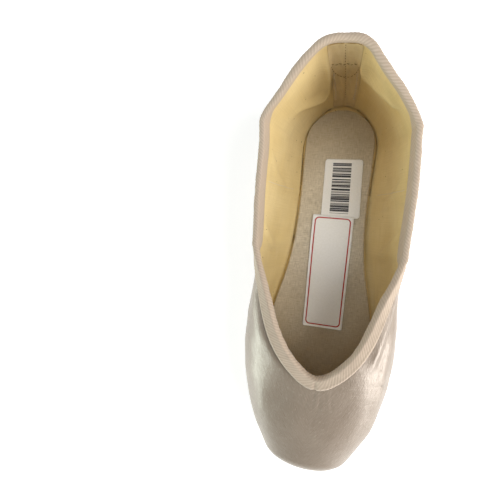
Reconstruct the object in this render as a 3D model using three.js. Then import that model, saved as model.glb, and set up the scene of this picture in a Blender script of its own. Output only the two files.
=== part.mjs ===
// A pointe shoe: a stiff satin box with a flat platform at the toe, soft flared quarters, a folded
// binding tape round the collar, a canvas covered insole and a small leather outsole.
// Millimetres, +Z up, toe towards -Y, standing on z = 0. The last is straight, so the shoe is the
// same on both sides of x = 0 and fits either foot.
import * as THREE from "three";
import { mergeVertices } from "three/addons/utils/BufferGeometryUtils.js";

// ---- driving dimensions ----
const HEEL_CENTRE = 179.5; // from the platform to the point that the heel's sections turn about
const GAP = 0.3; // clearance between pieces that lie against each other
const OUTSOLE_THICKNESS = 2.6;
const FLOOR_OF_UPPER = OUTSOLE_THICKNESS + GAP; // underside of the upper where the shoe is flat
const INSOLE_THICKNESS = 2.4;
const TURNED_IN_WALL = 1.5; // the upper's margin, folded in between outsole and insole
const BOX_WALL = 2.8; // satin, paste layers and lining
const QUARTER_WALL = 1.5; // satin and canvas
const HEEL_WALL = 1.9;
const PLATFORM_EDGE_RADIUS = 5.5;
const PLATFORM_CROWN = 0.6;
const PLATFORM_LEAN = Math.tan(THREE.MathUtils.degToRad(8)); // its top edge is the foremost
const LEAN_FADES_AT = 60;
// Superellipse exponents of a section's wall in the box, at the quarters and at the back, and of
// the vamp's crown.
const BOX_ROUNDNESS = 2.1;
const QUARTER_ROUNDNESS = 1.45;
const BACK_ROUNDNESS = 1.75;
const CROWN_ROUNDNESS = 2.2;
const CURL_DEPTH = 16; // how far below the collar the back starts to curl forward
const THROAT_POINT = 57.3; // from the platform to the blunt bottom of the V
const THROAT_END = 119.5; // the V's arms have become the quarters' top line here
const ARCH = { start: 82, peak: 126, end: 170, rise: 6.5 };
const BINDING = { outside: 5.6, inside: 8, thickness: 0.9, rim: 1.3, gap: 0.4 };
const OUTSOLE = { start: 15, end: 203, frontRound: 15, backRound: 17, bevelIn: 1.3, edge: 1.1 };
const INSOLE = { start: 12, end: 201.5, frontRound: 15, backRound: 18 };

// Sections of the last, square to its length: distance from the platform, half width of the sole's
// flat, half width of the widest place, height of the vamp's middle or (past the throat's point) of
// the collar, height from the widest place to the top of a closed vamp, half width of the opening
// that the outsole closes.
const SECTIONS = [
  { at: 0, sole: 11.5, width: 21.3, top: 30, shoulder: 13.8, opening: 0 },
  { at: 7.5, sole: 16.4, width: 25.3, top: 32.8, shoulder: 16, opening: 0 },
  { at: 20.5, sole: 22.8, width: 31.4, top: 38, shoulder: 20, opening: 0 },
  { at: 41, sole: 29, width: 37.2, top: 45.2, shoulder: 25, opening: 18.5 },
  { at: 61.5, sole: 31.3, width: 39.8, top: 51.3, shoulder: 28, opening: 20 },
  { at: 85.5, sole: 28, width: 38.6, top: 50.8, shoulder: 26, opening: 16.5 },
  { at: 105.5, sole: 23.5, width: 36.3, top: 47.6, shoulder: 25, opening: 10.5 },
  { at: 119.5, sole: 21.2, width: 36.2, top: 46, shoulder: 24, opening: 7.8 },
  { at: 141.5, sole: 20.3, width: 36.5, top: 46.9, shoulder: 24, opening: 8 },
  { at: 163.5, sole: 21, width: 35.8, top: 48.8, shoulder: 24, opening: 11.5 },
  { at: HEEL_CENTRE, sole: 21.8, width: 34.6, top: 51, shoulder: 24, opening: 13.2 },
];

// Sections of the heel, turned about the heel's centre from square to the length (0) to straight
// back (90). The collar is pressed flat behind the corner at 0 and across the back from 71 to 90,
// where its drawn-in edge curls forward.
const HEEL_SECTIONS = [
  { turn: 0, sole: 21.8, width: 34.6, top: 51, curl: 0, opening: 13.2 },
  { turn: 15, sole: 21.8, width: 31.2, top: 52.7, curl: 0, opening: 13.2 },
  { turn: 30, sole: 22, width: 29.8, top: 54.8, curl: 0.4, opening: 13.6 },
  { turn: 48, sole: 22.7, width: 30.6, top: 57.2, curl: 1, opening: 14.6 },
  { turn: 62, sole: 23.8, width: 33.2, top: 59.2, curl: 1.8, opening: 16 },
  { turn: 71, sole: 24.4, width: 35.4, top: 60.3, curl: 2.4, opening: 17 },
  { turn: 90, sole: 25, width: 36, top: 60.8, curl: 2.6, opening: 18 },
];

// The throat's outline. Its half width grows with the root of the distance past its point, so the
// spline runs along that root.
const THROAT = [
  { past: 0, half: 0 },
  { past: 3.2, half: 6.8 },
  { past: 6.7, half: 10.6 },
  { past: 12.7, half: 15.6 },
  { past: 21.7, half: 20.8 },
  { past: 32.7, half: 25.3 },
  { past: 42.2, half: 29 },
  { past: 51.7, half: 32.8 },
  { past: 62.2, half: 36.2 },
];

const OUTSOLE_OUTLINE = [
  { at: 15, half: 19 },
  { at: 38, half: 23.6 },
  { at: 60, half: 25.2 },
  { at: 84, half: 22 },
  { at: 108, half: 15 },
  { at: 132, half: 12.6 },
  { at: 158, half: 15.6 },
  { at: 182, half: 18.6 },
  { at: 203, half: 18.6 },
];

const INSOLE_OUTLINE = [
  { at: 12, half: 14 },
  { at: 32, half: 23.6 },
  { at: 60, half: 29.8 },
  { at: 82, half: 28.6 },
  { at: 106, half: 22.6 },
  { at: 130, half: 19.2 },
  { at: 156, half: 19.2 },
  { at: 180, half: 19.7 },
  { at: 201.5, half: 19.2 },
];

// ---- the last ----

// A natural cubic spline through one column of a table.
function curveOf(rows, along, column) {
  const x = rows.map((row) => row[along]);
  const y = rows.map((row) => row[column]);
  const n = x.length;
  const bend = new Array(n).fill(0);
  const carry = new Array(n).fill(0);
  for (let i = 1; i < n - 1; i++) {
    const share = (x[i] - x[i - 1]) / (x[i + 1] - x[i - 1]);
    const pivot = share * bend[i - 1] + 2;
    const jump = (y[i + 1] - y[i]) / (x[i + 1] - x[i]) - (y[i] - y[i - 1]) / (x[i] - x[i - 1]);
    bend[i] = (share - 1) / pivot;
    carry[i] = ((6 * jump) / (x[i + 1] - x[i - 1]) - share * carry[i - 1]) / pivot;
  }
  bend[n - 1] = 0;
  for (let i = n - 2; i >= 0; i--) bend[i] = bend[i] * bend[i + 1] + carry[i];
  return (at) => {
    const place = THREE.MathUtils.clamp(at, x[0], x[n - 1]);
    let i = 0;
    while (i < n - 2 && place > x[i + 1]) i++;
    const width = x[i + 1] - x[i];
    const b = (place - x[i]) / width;
    const a = 1 - b;
    const curved = ((a ** 3 - a) * bend[i] + (b ** 3 - b) * bend[i + 1]) * (width ** 2 / 6);
    return a * y[i] + b * y[i + 1] + curved;
  };
}

const body = {};
for (const column of ["sole", "width", "top", "shoulder", "opening"])
  body[column] = curveOf(SECTIONS, "at", column);
const heel = {};
for (const column of ["sole", "width", "top", "curl", "opening"])
  heel[column] = curveOf(HEEL_SECTIONS, "turn", column);
const throatRoots = THROAT.map(({ past, half }) => ({ root: Math.sqrt(past), half }));
const throatCurve = curveOf(throatRoots, "root", "half");
const throatHalf = (at) => throatCurve(Math.sqrt(Math.max(0, at - THROAT_POINT)));

// The underside's rise above its flat: the arch, and a little lift at the very toe.
function rise(at) {
  const { start, peak, end, rise: height } = ARCH;
  const share = at < peak ? (at - start) / (peak - start) : (end - at) / (end - peak);
  const arch = share > 0 ? height * share * share * (3 - 2 * share) : 0;
  const toe = Math.max(0, 1 - at / 16);
  return arch + 1.3 * toe * toe;
}

// Half width of the opening underneath: none before its start, rounded behind it.
const OPENING_START = OUTSOLE.start + 6;
function openingHalf(at) {
  if (at <= OPENING_START) return 0;
  const round = Math.min(1, (at - OPENING_START) / 14);
  return body.opening(Math.max(at, 41)) * Math.sqrt(1 - (1 - round) ** 2);
}

// Places on the last are (s, v). s runs from the platform's centre (0) over its edge (1) to the
// heel's centre (2) and round to the middle of the back (3). v runs up the section from the
// opening underneath (0) to the collar, or to the middle of the vamp (1).
const FACE_SHARE = 0.55; // the part of s from 0 to 1 that lies on the platform's face
const V_SOLE = 0.15; // the part of v that lies on the sole's flat

function stationOf(s) {
  if (s >= 2) {
    const turn = Math.min(90, (s - 2) * 90);
    const values = { at: HEEL_CENTRE, turn, scale: 1, bottom: FLOOR_OF_UPPER, end: 0 };
    for (const column in heel) values[column] = heel[column](turn);
    const roundness = THREE.MathUtils.lerp(QUARTER_ROUNDNESS, BACK_ROUNDNESS, turn / 90);
    return { ...values, roundness, widest: values.top };
  }
  let at;
  let scale = 1;
  if (s < 1) {
    const inset = PLATFORM_EDGE_RADIUS / body.width(0);
    if (s < FACE_SHARE) {
      at = 0;
      scale = (s / FACE_SHARE) * (1 - inset);
    } else {
      const roll = ((s - FACE_SHARE) / (1 - FACE_SHARE)) * (Math.PI / 2);
      at = PLATFORM_EDGE_RADIUS * (1 - Math.cos(roll));
      scale = 1 - inset + inset * Math.sin(roll);
    }
  } else at = PLATFORM_EDGE_RADIUS + (s - 1) * (HEEL_CENTRE - PLATFORM_EDGE_RADIUS);
  const values = { at, turn: 0, scale, curl: 0, bottom: FLOOR_OF_UPPER + rise(at) };
  for (const column in body) values[column] = body[column](at);
  values.opening = openingHalf(at);
  // The vamp's curve is cut where it meets the throat; its cut end is at the collar's height.
  const throat = at <= THROAT_POINT ? 0 : Math.min(throatHalf(at), values.width);
  values.end = at >= THROAT_END ? 0 : Math.acos((throat / values.width) ** (CROWN_ROUNDNESS / 2));
  const flat = THREE.MathUtils.smoothstep(at, 80, 128);
  values.roundness = THREE.MathUtils.lerp(BOX_ROUNDNESS, QUARTER_ROUNDNESS, flat);
  values.widest = values.top - values.shoulder * Math.sin(values.end) ** (2 / CROWN_ROUNDNESS);
  return values;
}
const sAt = (at) => 1 + (at - PLATFORM_EDGE_RADIUS) / (HEEL_CENTRE - PLATFORM_EDGE_RADIUS);

// The section's wall and crown as [outwards, height] points.
function wallLine({ sole, width, widest, top, curl, bottom, shoulder, end, roundness }) {
  const line = [];
  const steps = 24;
  for (let i = 0; i <= steps; i++) {
    const a = (i / steps) * (Math.PI / 2);
    line.push([
      sole + (width - sole) * Math.sin(a) ** (2 / roundness),
      widest - (widest - bottom) * Math.abs(Math.cos(a)) ** (2 / roundness),
    ]);
  }
  for (const point of line) {
    const reach = THREE.MathUtils.clamp(1 - (top - point[1]) / CURL_DEPTH, 0, 1);
    point[0] -= curl * reach * reach;
  }
  for (let i = 1; end > 0 && i <= steps * 1.5; i++) {
    const a = (end * i) / (steps * 1.5);
    line.push([
      width * Math.abs(Math.cos(a)) ** (2 / CROWN_ROUNDNESS),
      widest + shoulder * Math.sin(a) ** (2 / CROWN_ROUNDNESS),
    ]);
  }
  return line;
}

// A line's length up to each of its points.
function reachOf(line) {
  const reach = [0];
  for (let i = 1; i < line.length; i++)
    reach.push(
      reach[i - 1] + Math.hypot(line[i][0] - line[i - 1][0], line[i][1] - line[i - 1][1]),
    );
  return reach;
}

// The point of a section at v: across the sole's flat up to V_SOLE, then up the wall by length.
function sectionPoint(station, v) {
  const { opening, sole, bottom } = station;
  if (v < V_SOLE) return [opening + ((sole - opening) * v) / V_SOLE, bottom];
  const line = wallLine(station);
  const reach = reachOf(line);
  const wanted = (Math.min(1, v) - V_SOLE) * (reach.at(-1) / (1 - V_SOLE));
  let i = 1;
  while (i < line.length - 1 && reach[i] < wanted) i++;
  const share = (wanted - reach[i - 1]) / Math.max(1e-9, reach[i] - reach[i - 1]);
  return [0, 1].map((k) => line[i - 1][k] + share * (line[i][k] - line[i - 1][k]));
}

function surface(s, v) {
  const station = stationOf(s);
  const { at, turn, scale, bottom, top } = station;
  let [outwards, height] = sectionPoint(station, Math.max(0, v));
  const middle = (bottom + top) / 2;
  outwards *= scale;
  height = middle + (height - middle) * scale;
  const a = THREE.MathUtils.degToRad(turn);
  const fade = Math.max(0, 1 - at / LEAN_FADES_AT) ** 2;
  const crowned = PLATFORM_CROWN * (1 - scale * scale);
  const lean = PLATFORM_LEAN * (height - middle) * fade;
  return new THREE.Vector3(
    outwards * Math.cos(a),
    at + outwards * Math.sin(a) - lean - crowned,
    height,
  );
}

function normalAt(s, v) {
  if (s < FACE_SHARE * 0.9)
    return new THREE.Vector3(0, -1, -PLATFORM_LEAN).normalize();
  const ds = 1e-3;
  const dv = 2e-3;
  const back = Math.max(0, s - ds);
  const ahead = Math.min(3, s + ds);
  const low = Math.max(0, v - dv);
  const high = Math.min(1, v + dv);
  const lengthwise = surface(ahead, v).sub(surface(back, v));
  const upwards = surface(s, high).sub(surface(s, low));
  return upwards.cross(lengthwise).negate().normalize();
}

function wallAt(s, v) {
  const { at, bottom } = stationOf(s);
  const soft = THREE.MathUtils.smoothstep(at, 84, 118);
  let wall = THREE.MathUtils.lerp(BOX_WALL, QUARTER_WALL, soft);
  if (s > 1.9) wall = THREE.MathUtils.lerp(QUARTER_WALL, HEEL_WALL, Math.min(1, s - 1.9));
  const up = THREE.MathUtils.smoothstep(surface(s, v).z - bottom, 0.2, 9);
  return s < 1 ? BOX_WALL : THREE.MathUtils.lerp(TURNED_IN_WALL, wall, up);
}

// The surface moved along its normal: outwards is positive. On the middle plane it stays there.
function lifted(s, v, distance) {
  const normal = normalAt(s, v);
  const point = surface(s, v);
  if (point.x < 1e-6) {
    normal.x = 0;
    normal.normalize();
  }
  return point.addScaledVector(normal, distance);
}

// ---- meshes ----

// Collects faces over points, leaves out collapsed ones, and mirrors them across x = 0 if asked.
class Shell {
  constructor() {
    this.positions = [];
  }
  face(...corners) {
    for (let i = 1; i < corners.length - 1; i++) {
      const [a, b, c] = [corners[0], corners[i], corners[i + 1]];
      const area = b.clone().sub(a).cross(c.clone().sub(a)).length();
      if (area > 1e-7) for (const p of [a, b, c]) this.positions.push(p.x, p.y, p.z);
    }
  }
  mirrored() {
    const right = this.positions;
    const left = [];
    for (let i = 0; i < right.length; i += 9)
      for (const corner of [0, 6, 3])
        left.push(-right[i + corner], right[i + corner + 1], right[i + corner + 2]);
    this.positions = right.concat(left);
    return this;
  }
  geometry() {
    const flat = new THREE.BufferGeometry();
    flat.setAttribute("position", new THREE.Float32BufferAttribute(this.positions, 3));
    const merged = mergeVertices(flat, 1e-4);
    merged.computeVertexNormals();
    return merged;
  }
}

const linspace = (a, b, n) => Array.from({ length: n }, (_, i) => a + ((b - a) * i) / (n - 1));

// Where the upper's sections stand: rings on the platform, then along the shoe, then the heel.
const STATIONS = [
  0, 0.3, FACE_SHARE, 0.7, 0.85, 1,
  ...[9.5, 14.5, 20, 21, 23, 26, 30, 35, 41, 47, 52.5].map(sAt),
  ...[0, 0.35, 1.1, 2.6, 5, 8.5, 13, 19, 26, 33.5, 41, 48, 54, 58.5].map((past) =>
    sAt(THROAT_POINT + past),
  ),
  ...[THROAT_END, 124.5, 131.5, 139.5, 148.5, 157.5, 166.5, 174].map(sAt),
  ...[0, 7, 15, 26, 37, 48, 60, 71, 80, 90].map((turn) => 2 + turn / 90),
];
const SOLE_COLUMNS = 3;
const WALL_COLUMNS = 17;
const CROWDING = 1.3; // over 1: columns stand closer towards the collar

function upperGeometry() {
  const shell = new Shell();
  const steps = [
    ...linspace(0, V_SOLE, SOLE_COLUMNS + 1).slice(0, -1),
    ...linspace(0, 1, WALL_COLUMNS).map((t) => 1 - (1 - V_SOLE) * (1 - t) ** CROWDING),
  ];
  const outer = STATIONS.map((s) => steps.map((v) => surface(s, v)));
  const inner = STATIONS.map((s) => steps.map((v) => lifted(s, v, -wallAt(s, v))));
  for (const grid of [outer, inner])
    for (const row of grid) for (const p of row) if (Math.abs(p.x) < 1e-4) p.x = 0;
  const last = steps.length - 1;
  for (let i = 0; i < STATIONS.length - 1; i++) {
    for (let j = 0; j < last; j++) {
      shell.face(outer[i][j], outer[i + 1][j], outer[i + 1][j + 1], outer[i][j + 1]);
      shell.face(inner[i][j], inner[i][j + 1], inner[i + 1][j + 1], inner[i + 1][j]);
    }
    const past = stationOf((STATIONS[i] + STATIONS[i + 1]) / 2);
    if (past.at > THROAT_POINT)
      shell.face(outer[i][last], outer[i + 1][last], inner[i + 1][last], inner[i][last]);
    if (past.opening > 0)
      shell.face(outer[i][0], inner[i][0], inner[i + 1][0], outer[i + 1][0]);
  }
  return shell.mirrored().geometry();
}

// The place (s, v) on the last that is nearest to a point, starting the search at a known place.
function nearestPlace(target, s, v) {
  const step = 1e-3;
  s = Math.min(s, 3 - 2 * step);
  for (let round = 0; round < 12; round++) {
    const here = surface(s, v);
    const off = target.clone().sub(here);
    const alongS = surface(s + step, v).sub(here).divideScalar(step);
    const alongV = surface(s, v - step).sub(here).divideScalar(-step);
    const [ss, sv, vv] = [alongS.dot(alongS), alongS.dot(alongV), alongV.dot(alongV)];
    const [rs, rv] = [alongS.dot(off), alongV.dot(off)];
    const det = ss * vv - sv * sv;
    s = THREE.MathUtils.clamp(s + (rs * vv - rv * sv) / det, 1, 3 - 2 * step);
    v = THREE.MathUtils.clamp(v + (rv * ss - rs * sv) / det, 0.02, 1);
  }
  return [s, v];
}

// The binding: a folded tape that straddles the collar's edge. Each station of the collar gets a
// channel section: down the outside, back up over the rim and down the inside.
function bindingGeometry() {
  const stations = STATIONS.filter((s) => s >= sAt(THROAT_POINT) - 1e-9);
  const ahead = 2e-3;
  const rings = stations.map((s, index) => {
    const atPoint = index === 0;
    const atBack = index === stations.length - 1;
    const edge = surface(s, 1);
    const before = surface(Math.max(sAt(THROAT_POINT), s - ahead), 1);
    const after = surface(Math.min(3, s + ahead), 1);
    const tangent = after.sub(before).normalize();
    if (atPoint) tangent.set(1, 0, 0);
    if (atBack) tangent.set(-1, 0, 0);
    const normal = normalAt(s, 1);
    if (atPoint || atBack) normal.x = 0;
    normal.normalize();
    const down = tangent.clone().cross(normal).normalize();
    if (down.z > 0) down.negate();
    // Down the section along the quarters, square to the collar's edge along the V's arms.
    const girth = reachOf(wallLine(stationOf(s))).at(-1) / (1 - V_SOLE);
    const square = 1 - THREE.MathUtils.smoothstep(s, sAt(92), sAt(112));
    const place = (depth) => {
      const straight = [s, 1 - depth / girth];
      if (square === 0) return straight;
      const wanted = edge.clone().addScaledVector(down, depth);
      const turned = nearestPlace(wanted, ...straight);
      return straight.map((value, k) => THREE.MathUtils.lerp(value, turned[k], square));
    };
    const at = (depth, offset) => {
      const [ps, pv] = place(depth);
      const point = surface(ps, pv).addScaledVector(normalAt(ps, pv), offset);
      if (atPoint || atBack) point.x = 0;
      return point;
    };
    const wall = wallAt(s, 1);
    const rim = (height, offset) => {
      const point = edge.clone().addScaledVector(down, -height).addScaledVector(normal, offset);
      if (atPoint || atBack) point.x = 0;
      return point;
    };
    const { outside, inside, thickness, gap, rim: rimHeight } = BINDING;
    const outerFace = gap + thickness;
    const innerFace = -wall - gap - thickness;
    const half = (outerFace - innerFace) / 2;
    const thirds = [1, 2 / 3, 1 / 3];
    const fold = [
      rim(0, outerFace),
      rim(rimHeight * 0.75, outerFace - half * 0.35),
      rim(rimHeight, -wall / 2),
      rim(rimHeight * 0.75, innerFace + half * 0.35),
      rim(0, innerFace),
    ];
    return [
      ...thirds.map((share) => at(outside * share, outerFace)),
      ...fold,
      ...thirds.toReversed().map((share) => at(inside * share, innerFace)),
      ...thirds.map((share) => at(inside * share, -wall - gap)),
      rim(gap, -wall - gap),
      rim(gap, gap),
      ...thirds.toReversed().map((share) => at(outside * share, gap)),
    ];
  });
  const shell = new Shell();
  for (let i = 0; i < rings.length - 1; i++)
    for (let j = 0; j < rings[i].length; j++) {
      const next = (j + 1) % rings[i].length;
      shell.face(rings[i][j], rings[i + 1][j], rings[i + 1][next], rings[i][next]);
    }
  return shell.mirrored().geometry();
}

// Outsole and insole: a board lofted from sections square to the shoe, round at both ends, that
// follows the arch. Each section is [half width, height above the board's underside] points.
function boardGeometry(outline, ends, underside, sectionOf) {
  const half = curveOf(outline, "at", "half");
  const { start, end, frontRound, backRound } = ends;
  const halfAt = (at) => {
    const front = Math.min(1, (at - start) / frontRound);
    const back = Math.min(1, (end - at) / backRound);
    return half(at) * Math.sqrt(1 - (1 - front) ** 2) * Math.sqrt(1 - (1 - back) ** 2);
  };
  const ats = [
    ...[0.3, 1.1, 2.4, 4.2, 6.6, 9.8].map((d) => start + d),
    ...linspace(start + 14, end - 17, 24),
    ...[12.4, 8.4, 5.2, 2.9, 1.3, 0.3].map((d) => end - d),
  ];
  const shell = new Shell();
  const rings = ats.map((at) =>
    sectionOf(halfAt(at)).map(([x, z]) => new THREE.Vector3(x, at, underside + rise(at) + z)),
  );
  for (let i = 0; i < rings.length - 1; i++)
    for (let j = 0; j < rings[i].length - 1; j++)
      shell.face(rings[i][j], rings[i + 1][j], rings[i + 1][j + 1], rings[i][j + 1]);
  shell.face(...rings[0]);
  shell.face(...rings.at(-1).reverse());
  return shell.mirrored().geometry();
}

const outsoleSection = (half) => [
  [0, 0],
  [Math.max(half - OUTSOLE.bevelIn, half * 0.5), 0],
  [half, OUTSOLE.edge],
  [half, OUTSOLE_THICKNESS],
  [0, OUTSOLE_THICKNESS],
];
const insoleSection = (half) => [
  [0, 0],
  [half, 0],
  [half, INSOLE_THICKNESS - 0.6],
  [half - Math.min(0.6, half * 0.3), INSOLE_THICKNESS],
  [0, INSOLE_THICKNESS],
];

// ---- the shoe ----
const satin = new THREE.MeshStandardMaterial({ color: 0xe3d3c4, roughness: 0.38 });
const tape = new THREE.MeshStandardMaterial({ color: 0xe2cdbd, roughness: 0.7 });
const leather = new THREE.MeshStandardMaterial({ color: 0xc9a98a, roughness: 0.6 });
const linen = new THREE.MeshStandardMaterial({ color: 0xb8a886, roughness: 0.9 });

const shoe = new THREE.Group();
function add(name, geometry, material) {
  const mesh = new THREE.Mesh(geometry, material);
  mesh.name = name;
  shoe.add(mesh);
}
const insoleUnderside = FLOOR_OF_UPPER + TURNED_IN_WALL + GAP;
add("upper", upperGeometry(), satin);
add("binding", bindingGeometry(), tape);
add("outsole", boardGeometry(OUTSOLE_OUTLINE, OUTSOLE, 0, outsoleSection), leather);
add("insole", boardGeometry(INSOLE_OUTLINE, INSOLE, insoleUnderside, insoleSection), linen);

// The origin is under the middle of the shoe's length, on the floor.
const extent = new THREE.Box3().setFromObject(shoe);
shoe.position.y = -(extent.min.y + extent.max.y) / 2;

export default shoe;
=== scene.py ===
import bmesh
import bpy
import math
import numpy as np
from mathutils import Matrix, Vector


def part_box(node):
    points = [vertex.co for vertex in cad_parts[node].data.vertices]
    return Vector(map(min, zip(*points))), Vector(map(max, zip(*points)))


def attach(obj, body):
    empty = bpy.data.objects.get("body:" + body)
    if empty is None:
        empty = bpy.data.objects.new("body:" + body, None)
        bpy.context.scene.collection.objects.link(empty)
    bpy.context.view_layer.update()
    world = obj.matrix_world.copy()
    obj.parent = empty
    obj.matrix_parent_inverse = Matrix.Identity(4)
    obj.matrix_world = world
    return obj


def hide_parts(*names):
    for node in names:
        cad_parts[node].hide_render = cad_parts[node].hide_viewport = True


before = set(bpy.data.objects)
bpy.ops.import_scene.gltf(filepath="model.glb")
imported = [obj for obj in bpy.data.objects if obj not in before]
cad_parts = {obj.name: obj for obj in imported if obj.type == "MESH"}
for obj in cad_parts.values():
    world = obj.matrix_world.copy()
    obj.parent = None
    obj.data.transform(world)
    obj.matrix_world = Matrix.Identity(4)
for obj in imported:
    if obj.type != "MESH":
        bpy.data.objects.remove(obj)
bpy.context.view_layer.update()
MM = 0.001
# The twill ribs of the binding tape: spacing, slant to the tape's length, and height.
RIB_PITCH, RIB_SLANT, RIB_HEIGHT = 1.25, math.radians(40), 0.15

#
# The last, in millimetres, the same form as the CAD solids follow. y runs from the platform.
#
HEEL_CENTRE = 179.5
GAP = 0.3
OUTSOLE_THICKNESS = 2.6
FLOOR = OUTSOLE_THICKNESS + GAP
TURNED_IN_WALL, BOX_WALL, QUARTER_WALL, HEEL_WALL = 1.5, 2.8, 1.5, 1.9
EDGE_RADIUS, CROWN, LEAN, LEAN_FADES_AT = 5.5, 0.6, math.tan(math.radians(8)), 60
BOX_N, QUARTER_N, BACK_N, CROWN_N, CURL_DEPTH = 2.1, 1.45, 1.75, 2.2, 16
THROAT_POINT, THROAT_END = 57.3, 119.5
ARCH_START, ARCH_PEAK, ARCH_END, ARCH_RISE = 82, 126, 170, 6.5
TOE_SPRING, TOE_SPRING_END = 1.3, 16
OPENING_START = 21
FACE_SHARE, V_SOLE = 0.55, 0.15

# distance from the platform, sole, width, top, shoulder, opening
SECTIONS = np.array([
    (0, 11.5, 21.3, 30, 13.8, 0),
    (7.5, 16.4, 25.3, 32.8, 16, 0),
    (20.5, 22.8, 31.4, 38, 20, 0),
    (41, 29, 37.2, 45.2, 25, 18.5),
    (61.5, 31.3, 39.8, 51.3, 28, 20),
    (85.5, 28, 38.6, 50.8, 26, 16.5),
    (105.5, 23.5, 36.3, 47.6, 25, 10.5),
    (119.5, 21.2, 36.2, 46, 24, 7.8),
    (141.5, 20.3, 36.5, 46.9, 24, 8),
    (163.5, 21, 35.8, 48.8, 24, 11.5),
    (179.5, 21.8, 34.6, 51, 24, 13.2),
])
# turn, sole, width, top, curl, opening
HEEL_SECTIONS = np.array([
    (0, 21.8, 34.6, 51, 0, 13.2),
    (15, 21.8, 31.2, 52.7, 0, 13.2),
    (30, 22, 29.8, 54.8, 0.4, 13.6),
    (48, 22.7, 30.6, 57.2, 1, 14.6),
    (62, 23.8, 33.2, 59.2, 1.8, 16),
    (71, 24.4, 35.4, 60.3, 2.4, 17),
    (90, 25, 36, 60.8, 2.6, 18),
])
# distance past the throat's point, half width
THROAT = np.array([
    (0, 0), (3.2, 6.8), (6.7, 10.6), (12.7, 15.6), (21.7, 20.8),
    (32.7, 25.3), (42.2, 29), (51.7, 32.8), (62.2, 36.2),
])


def spline(x, y):
    """A natural cubic spline as a function."""
    n = len(x)
    h = np.diff(x)
    a = np.zeros((n, n))
    b = np.zeros(n)
    a[0, 0] = a[-1, -1] = 1
    for i in range(1, n - 1):
        a[i, i - 1], a[i, i], a[i, i + 1] = h[i - 1], 2 * (h[i - 1] + h[i]), h[i]
        b[i] = 6 * ((y[i + 1] - y[i]) / h[i] - (y[i] - y[i - 1]) / h[i - 1])
    m = np.linalg.solve(a, b)

    def f(t):
        t = np.clip(t, x[0], x[-1])
        i = np.clip(np.searchsorted(x, t, side="right") - 1, 0, n - 2)
        w = x[i + 1] - x[i]
        q = (t - x[i]) / w
        p = 1 - q
        return p * y[i] + q * y[i + 1] + ((p**3 - p) * m[i] + (q**3 - q) * m[i + 1]) * w * w / 6

    return f


BODY = {k: spline(SECTIONS[:, 0], SECTIONS[:, i + 1])
        for i, k in enumerate(("sole", "width", "top", "shoulder", "opening"))}
HEEL = {k: spline(HEEL_SECTIONS[:, 0], HEEL_SECTIONS[:, i + 1])
        for i, k in enumerate(("sole", "width", "top", "curl", "opening"))}
throat_curve = spline(np.sqrt(THROAT[:, 0]), THROAT[:, 1])


def smooth(x, low, high):
    t = np.clip((x - low) / (high - low), 0, 1)
    return t * t * (3 - 2 * t)


def run_along(points):
    """How far along a line of points each one is."""
    return np.append(0, np.cumsum(np.linalg.norm(np.diff(points, axis=0), axis=1)))


def toe_spring(at):
    toe = np.maximum(0, 1 - at / TOE_SPRING_END)
    return TOE_SPRING * toe * toe


def rise(at):
    """How far the sole stands above its lowest plane."""
    share = np.where(at < ARCH_PEAK, (at - ARCH_START) / (ARCH_PEAK - ARCH_START),
                     (ARCH_END - at) / (ARCH_END - ARCH_PEAK))
    arch = np.where(share > 0, ARCH_RISE * share * share * (3 - 2 * share), 0)
    return arch + toe_spring(at)


def opening_half(at):
    if at <= OPENING_START:
        return 0.0
    r = min(1, (at - OPENING_START) / 14)
    return float(BODY["opening"](max(at, 41))) * math.sqrt(1 - (1 - r) ** 2)


def station(s):
    """The section at s: 0 to 1 the platform and its edge, to 2 the heel's centre, to 3 the back."""
    if s >= 2:
        turn = min(90, (s - 2) * 90)
        st = {k: float(f(turn)) for k, f in HEEL.items()}
        st.update(at=HEEL_CENTRE, turn=turn, scale=1, bottom=FLOOR, end=0, widest=st["top"],
                  shoulder=24, n=QUARTER_N + (BACK_N - QUARTER_N) * turn / 90)
        return st
    scale = 1
    if s < 1:
        inset = EDGE_RADIUS / float(BODY["width"](0))
        if s < FACE_SHARE:
            at, scale = 0, s / FACE_SHARE * (1 - inset)
        else:
            roll = (s - FACE_SHARE) / (1 - FACE_SHARE) * math.pi / 2
            at = EDGE_RADIUS * (1 - math.cos(roll))
            scale = 1 - inset + inset * math.sin(roll)
    else:
        at = EDGE_RADIUS + (s - 1) * (HEEL_CENTRE - EDGE_RADIUS)
    st = {k: float(f(at)) for k, f in BODY.items()}
    throat = 0 if at <= THROAT_POINT else min(float(throat_curve(math.sqrt(at - THROAT_POINT))),
                                              st["width"])
    end = 0 if at >= THROAT_END else math.acos((throat / st["width"]) ** (CROWN_N / 2))
    st.update(at=at, turn=0, scale=scale, curl=0, bottom=FLOOR + float(rise(at)), end=end,
              opening=opening_half(at),
              n=BOX_N + (QUARTER_N - BOX_N) * float(smooth(at, 80, 128)),
              widest=st["top"] - st["shoulder"] * math.sin(end) ** (2 / CROWN_N))
    return st


def s_at(at):
    return 1 + (at - EDGE_RADIUS) / (HEEL_CENTRE - EDGE_RADIUS)


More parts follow.
